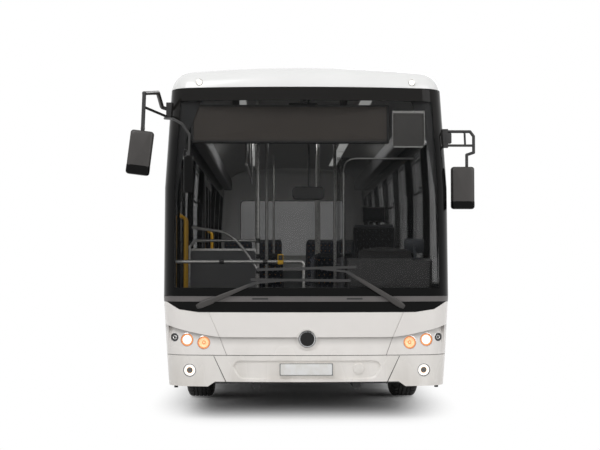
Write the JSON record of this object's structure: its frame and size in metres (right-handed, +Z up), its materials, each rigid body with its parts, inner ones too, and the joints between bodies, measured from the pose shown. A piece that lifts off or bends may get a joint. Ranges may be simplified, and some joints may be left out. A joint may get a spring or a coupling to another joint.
{
  "type": "low-floor electric city bus",
  "caption": "Low-floor battery-electric city bus with rounded front, steered front wheels, twin rear wheels, inward-gliding passenger doors, rear lid and two outside mirrors.",
  "frame": {"origin": "on the road under the middle of the whole bus, mirrors included", "axes": "+Z up, -Y towards the front of the bus, +X towards the driver's side"},
  "size_m": [2.9259, 9.723, 3.23],
  "materials": {
    "white": "gloss",
    "black_gloss": "gloss",
    "grey_satin": "satin",
    "screen_glass": "clear",
    "tinted_glass": "tinted",
    "door_glass": "tinted glass in black frames",
    "lamp": "clear lamp glass",
    "tail_lamp": "gloss",
    "tyre": "matt",
    "wheel_steel": "satin silver",
    "chassis_black": "satin",
    "rubber": "matt",
    "cast": "painted",
    "floor_grey": "vinyl",
    "dark_trim": "grained",
    "seat_fabric": "woven",
    "rail_steel": "brushed",
    "motor": "cast",
    "battery": "powder coated",
    "partition": "satin"
  },
  "bodies": {
    "body": {"air_springs": "rubber", "chassis_frame": "chassis_black", "cowl_panel": "black_gloss", "cowl_strip": "grey_satin", "dashboard": "dark_trim", "destination_sign": "dark_trim", "drive_motor": "motor", "driver_partition": "partition", "driver_seat": "seat_fabric", "floor": "floor_grey", "front_axle": "cast", "front_bumper": "white", "front_dome": "white", "front_frame": "chassis_black", "front_lamps": "lamp", "front_panel": "white", "handrails": "rail_steel", "mirror_driver": "dark_trim", "mirror_kerb": "dark_trim", "passenger_seats": "seat_fabric", "rear_axle": "cast", "rear_bumper": "white", "rear_panel": "white", "rear_window": "tinted_glass", "roof": "white", "roof_pod": "white", "side_frame_left": "white", "side_frame_right": "white", "side_glass_left": "tinted_glass", "side_glass_right": "tinted_glass", "skirt_left": "white", "skirt_right": "white", "tail_lamps": "tail_lamp", "traction_battery": "battery", "wheel_boxes_front": "floor_grey", "wheel_boxes_rear": "floor_grey", "windscreen": "screen_glass", "wipers": "dark_trim"},
    "knuckle_left": {"knuckle_left": "cast"},
    "knuckle_right": {"knuckle_right": "cast"},
    "track_rod": {"track_rod": "chassis_black"},
    "wheel_front_left": {"tyre_front_left": "tyre", "rim_front_left": "wheel_steel"},
    "wheel_front_right": {"tyre_front_right": "tyre", "rim_front_right": "wheel_steel"},
    "wheels_rear_left": {"tyres_rear_left": "tyre", "rims_rear_left": "wheel_steel"},
    "wheels_rear_right": {"tyres_rear_right": "tyre", "rims_rear_right": "wheel_steel"},
    "steering_wheel": {"steering_wheel": "dark_trim"},
    "rear_lid": {"rear_lid": "white"},
    "door_post_front_a": {"door_post_front_a": "dark_trim"},
    "door_leaf_front_a": {"door_leaf_front_a": "door_glass"},
    "door_post_front_b": {"door_post_front_b": "dark_trim"},
    "door_leaf_front_b": {"door_leaf_front_b": "door_glass"},
    "door_post_mid_a": {"door_post_mid_a": "dark_trim"},
    "door_leaf_mid_a": {"door_leaf_mid_a": "door_glass"},
    "door_post_mid_b": {"door_post_mid_b": "dark_trim"},
    "door_leaf_mid_b": {"door_leaf_mid_b": "door_glass"},
    "cab_door": {"cab_door": "partition"}
  },
  "joints": [
    {"name": "steer_left", "type": "hinge", "parent": "body", "child": "knuckle_left", "pos_m": [0.835, -2.56, 0.433], "axis": [0, 0, 1], "range_deg": [-40, 40]},
    {"name": "steer_right", "type": "hinge", "parent": "body", "child": "knuckle_right", "pos_m": [-0.835, -2.56, 0.433], "axis": [0, 0, 1], "range_deg": [-40, 40]},
    {"name": "track_rod_end", "type": "hinge", "parent": "knuckle_left", "child": "track_rod", "pos_m": [0.835, -2.37, 0.222], "axis": [0, 0, 1], "range_deg": [-40, 40]},
    {"name": "roll_front_left", "type": "hinge", "parent": "knuckle_left", "child": "wheel_front_left", "pos_m": [1, -2.56, 0.433], "axis": [1, 0, 0], "continuous": true},
    {"name": "roll_front_right", "type": "hinge", "parent": "knuckle_right", "child": "wheel_front_right", "pos_m": [-1, -2.56, 0.433], "axis": [1, 0, 0], "continuous": true},
    {"name": "roll_rear_left", "type": "hinge", "parent": "body", "child": "wheels_rear_left", "pos_m": [1, 1.74, 0.433], "axis": [1, 0, 0], "continuous": true},
    {"name": "roll_rear_right", "type": "hinge", "parent": "body", "child": "wheels_rear_right", "pos_m": [-1, 1.74, 0.433], "axis": [1, 0, 0], "continuous": true},
    {"name": "steering_wheel_turn", "type": "hinge", "parent": "body", "child": "steering_wheel", "pos_m": [0.67, -4.02, 1.33], "axis": [0, 0.4695, 0.8829], "range_deg": [-720, 720]},
    {"name": "door_front_a", "type": "hinge", "parent": "body", "child": "door_post_front_a", "pos_m": [-1.13, -4.28, 1.379], "axis": [0, 0, -1], "range_deg": [0, 88]},
    {"name": "door_front_a_leaf", "type": "hinge", "parent": "door_post_front_a", "child": "door_leaf_front_a", "pos_m": [-1.13, -4.013, 1.379], "axis": [0, 0, 1], "range_deg": [0, 176]},
    {"name": "door_front_b", "type": "hinge", "parent": "body", "child": "door_post_front_b", "pos_m": [-1.13, -3.256, 1.379], "axis": [0, 0, 1], "range_deg": [0, 88]},
    {"name": "door_front_b_leaf", "type": "hinge", "parent": "door_post_front_b", "child": "door_leaf_front_b", "pos_m": [-1.13, -3.523, 1.379], "axis": [0, 0, -1], "range_deg": [0, 176]},
    {"name": "door_mid_a", "type": "hinge", "parent": "body", "child": "door_post_mid_a", "pos_m": [-1.13, -0.232, 1.379], "axis": [0, 0, -1], "range_deg": [0, 88]},
    {"name": "door_mid_a_leaf", "type": "hinge", "parent": "door_post_mid_a", "child": "door_leaf_mid_a", "pos_m": [-1.13, 0.07, 1.379], "axis": [0, 0, 1], "range_deg": [0, 176]},
    {"name": "door_mid_b", "type": "hinge", "parent": "body", "child": "door_post_mid_b", "pos_m": [-1.13, 0.932, 1.379], "axis": [0, 0, 1], "range_deg": [0, 88]},
    {"name": "door_mid_b_leaf", "type": "hinge", "parent": "door_post_mid_b", "child": "door_leaf_mid_b", "pos_m": [-1.13, 0.63, 1.379], "axis": [0, 0, -1], "range_deg": [0, 176]},
    {"name": "rear_lid_hinge", "type": "hinge", "parent": "body", "child": "rear_lid", "pos_m": [0, 4.854, 1.194], "axis": [1, 0, 0], "range_deg": [0, 80]},
    {"name": "cab_door_hinge", "type": "hinge", "parent": "body", "child": "cab_door", "pos_m": [0.34, -3.135, 1.3], "axis": [0, 0, 1], "range_deg": [-95, 0]}
  ],
  "couplings": [
    {"joint": "steer_right", "follows": "steer_left", "ratio": 1},
    {"joint": "track_rod_end", "follows": "steer_left", "ratio": -1},
    {"joint": "steering_wheel_turn", "follows": "steer_left", "ratio": 18},
    {"joint": "door_front_a_leaf", "follows": "door_front_a", "ratio": 2},
    {"joint": "door_front_b", "follows": "door_front_a", "ratio": 1},
    {"joint": "door_front_b_leaf", "follows": "door_front_a", "ratio": 2},
    {"joint": "door_mid_a_leaf", "follows": "door_mid_a", "ratio": 2},
    {"joint": "door_mid_b", "follows": "door_mid_a", "ratio": 1},
    {"joint": "door_mid_b_leaf", "follows": "door_mid_a", "ratio": 2}
  ]
}
